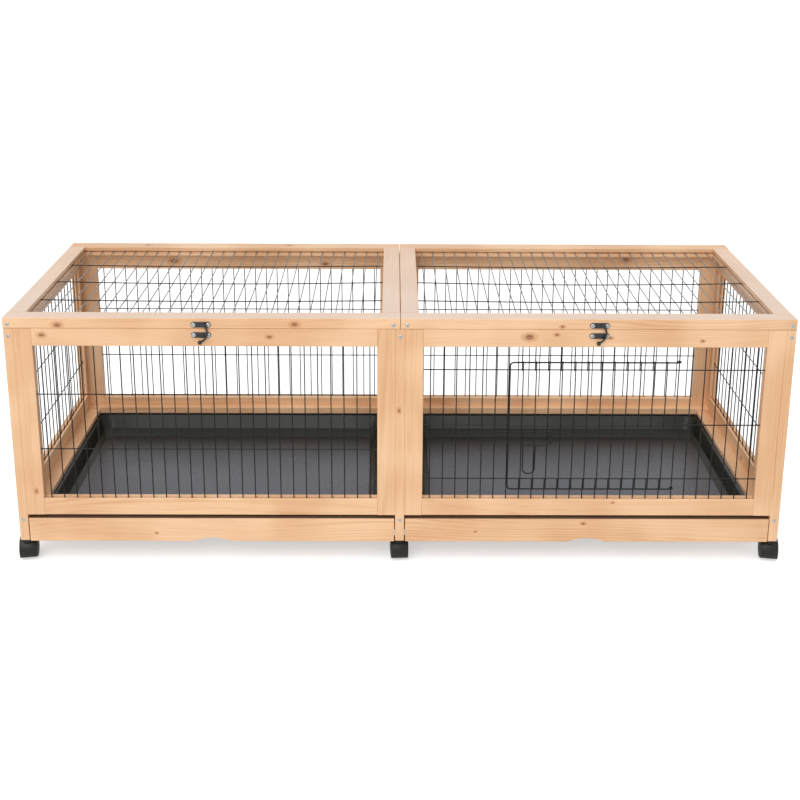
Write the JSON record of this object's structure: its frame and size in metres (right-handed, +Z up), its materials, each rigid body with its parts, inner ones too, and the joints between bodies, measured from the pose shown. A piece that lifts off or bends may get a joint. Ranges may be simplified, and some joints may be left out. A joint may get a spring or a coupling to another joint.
{
  "type": "rodent cage",
  "caption": "long two-compartment rodent cage of pine boards and black welded wire, with hinged lids, slide-out trays, a wire door and twin-wheel casters",
  "frame": {"origin": "on the floor under the middle of the cage", "axes": "+X to the right along the length, +Y to the rear, +Z up; the lids' latches face -Y"},
  "size_m": [1.528, 0.5421, 0.515],
  "materials": {
    "pine": "planed, clear satin lacquer",
    "wire": "black coated wire",
    "tray": "dark grey, satin",
    "caster_shell": "moulded",
    "caster_wheel": "moulded",
    "latch": "black gloss",
    "hinge": "black gloss",
    "screw": "bright zinc"
  },
  "bodies": {
    "root": {"frame_left_posts": "pine", "frame_left_rails": "pine", "frame_left_mesh": "wire", "frame_middle_posts": "pine", "frame_middle_rails": "pine", "frame_middle_mesh": "wire", "frame_right_posts": "pine", "frame_right_rails": "pine", "frame_right_mesh": "wire", "front_left_stiles": "pine", "front_left_rails": "pine", "front_left_mesh": "wire", "front_right_stiles": "pine", "front_right_rails": "pine", "front_right_mesh": "wire", "rear_left_stiles": "pine", "rear_left_rails": "pine", "rear_left_mesh": "wire", "rear_right_stiles": "pine", "rear_right_rails": "pine", "rear_right_mesh": "wire", "rear_base_boards": "pine", "tray_side_strips": "pine", "tray_rear_strips": "pine", "tray_bearers": "pine", "latch_keepers": "latch", "hinge_fixed_leaves": "hinge", "frame_screws": "screw"},
    "lid_left": {"lid_left_cross_rails": "pine", "lid_left_side_rails": "pine", "lid_left_mesh": "wire", "lid_left_screws": "screw", "hinge_leaves_left": "hinge", "latch_plate_left": "latch"},
    "hook_left": {"latch_hook_left": "latch"},
    "drawer_left": {"drawer_left_front": "pine", "drawer_left_tray": "tray"},
    "lid_right": {"lid_right_cross_rails": "pine", "lid_right_side_rails": "pine", "lid_right_mesh": "wire", "lid_right_screws": "screw", "hinge_leaves_right": "hinge", "latch_plate_right": "latch"},
    "hook_right": {"latch_hook_right": "latch"},
    "drawer_right": {"drawer_right_front": "pine", "drawer_right_tray": "tray"},
    "door": {"door_wire": "wire"},
    "bolt": {"door_bolt": "wire"},
    "caster_left_front": {"caster_left_front_fork": "caster_shell"},
    "caster_left_front_roller": {"caster_left_front_wheels": "caster_wheel"},
    "caster_left_rear": {"caster_left_rear_fork": "caster_shell"},
    "caster_left_rear_roller": {"caster_left_rear_wheels": "caster_wheel"},
    "caster_middle_front": {"caster_middle_front_fork": "caster_shell"},
    "caster_middle_front_roller": {"caster_middle_front_wheels": "caster_wheel"},
    "caster_middle_rear": {"caster_middle_rear_fork": "caster_shell"},
    "caster_middle_rear_roller": {"caster_middle_rear_wheels": "caster_wheel"},
    "caster_right_front": {"caster_right_front_fork": "caster_shell"},
    "caster_right_front_roller": {"caster_right_front_wheels": "caster_wheel"},
    "caster_right_rear": {"caster_right_rear_fork": "caster_shell"},
    "caster_right_rear_roller": {"caster_right_rear_wheels": "caster_wheel"}
  },
  "joints": [
    {"name": "lid_left_hinge", "type": "hinge", "parent": "root", "child": "lid_left", "pos_m": [-0.375, 0.2573, 0.4943], "axis": [-1, 0, 0], "range_deg": [0, 190]},
    {"name": "hook_left_pivot", "type": "hinge", "parent": "lid_left", "child": "hook_left", "pos_m": [-0.3709, -0.2662, 0.503], "axis": [0, -1, 0], "range_deg": [0, 110]},
    {"name": "drawer_left_slide", "type": "slide", "parent": "root", "child": "drawer_left", "axis": [0, -1, 0], "range_m": [0, 0.45]},
    {"name": "lid_right_hinge", "type": "hinge", "parent": "root", "child": "lid_right", "pos_m": [0.375, 0.2573, 0.4943], "axis": [-1, 0, 0], "range_deg": [0, 190]},
    {"name": "hook_right_pivot", "type": "hinge", "parent": "lid_right", "child": "hook_right", "pos_m": [0.3823, -0.2662, 0.503], "axis": [0, -1, 0], "range_deg": [0, 110]},
    {"name": "drawer_right_slide", "type": "slide", "parent": "root", "child": "drawer_right", "axis": [0, -1, 0], "range_m": [0, 0.45]},
    {"name": "door_hinge", "type": "hinge", "parent": "root", "child": "door", "pos_m": [0.533, -0.2566, 0.297], "axis": [0, 0, 1], "range_deg": [0, 150]},
    {"name": "bolt_slide", "type": "slide", "parent": "door", "child": "bolt", "axis": [1, 0, 0], "range_m": [0, 0.025]},
    {"name": "caster_left_front_swivel", "type": "hinge", "parent": "root", "child": "caster_left_front", "pos_m": [-0.741, -0.2437, 0.05], "axis": [0, 0, 1], "continuous": true},
    {"name": "caster_left_front_roll", "type": "hinge", "parent": "caster_left_front", "child": "caster_left_front_roller", "pos_m": [-0.74256, -0.23484, 0.02], "axis": [0.9848, 0.1736, 0], "continuous": true},
    {"name": "caster_left_rear_swivel", "type": "hinge", "parent": "root", "child": "caster_left_rear", "pos_m": [-0.741, 0.2363, 0.05], "axis": [0, 0, 1], "continuous": true},
    {"name": "caster_left_rear_roll", "type": "hinge", "parent": "caster_left_rear", "child": "caster_left_rear_roller", "pos_m": [-0.74256, 0.24516, 0.02], "axis": [0.9848, 0.1736, 0], "continuous": true},
    {"name": "caster_middle_front_swivel", "type": "hinge", "parent": "root", "child": "caster_middle_front", "pos_m": [0, -0.2437, 0.05], "axis": [0, 0, 1], "continuous": true},
    {"name": "caster_middle_front_roll", "type": "hinge", "parent": "caster_middle_front", "child": "caster_middle_front_roller", "pos_m": [-0.00047, -0.23471, 0.02], "axis": [0.9986, 0.0523, 0], "continuous": true},
    {"name": "caster_middle_rear_swivel", "type": "hinge", "parent": "root", "child": "caster_middle_rear", "pos_m": [0, 0.2363, 0.05], "axis": [0, 0, 1], "continuous": true},
    {"name": "caster_middle_rear_roll", "type": "hinge", "parent": "caster_middle_rear", "child": "caster_middle_rear_roller", "pos_m": [-0.00047, 0.24529, 0.02], "axis": [0.9986, 0.0523, 0], "continuous": true},
    {"name": "caster_right_front_swivel", "type": "hinge", "parent": "root", "child": "caster_right_front", "pos_m": [0.741, -0.2437, 0.05], "axis": [0, 0, 1], "continuous": true},
    {"name": "caster_right_front_roll", "type": "hinge", "parent": "caster_right_front", "child": "caster_right_front_roller", "pos_m": [0.74256, -0.23484, 0.02], "axis": [0.9848, -0.1736, 0], "continuous": true},
    {"name": "caster_right_rear_swivel", "type": "hinge", "parent": "root", "child": "caster_right_rear", "pos_m": [0.741, 0.2363, 0.05], "axis": [0, 0, 1], "continuous": true},
    {"name": "caster_right_rear_roll", "type": "hinge", "parent": "caster_right_rear", "child": "caster_right_rear_roller", "pos_m": [0.74256, 0.24516, 0.02], "axis": [0.9848, -0.1736, 0], "continuous": true}
  ]
}
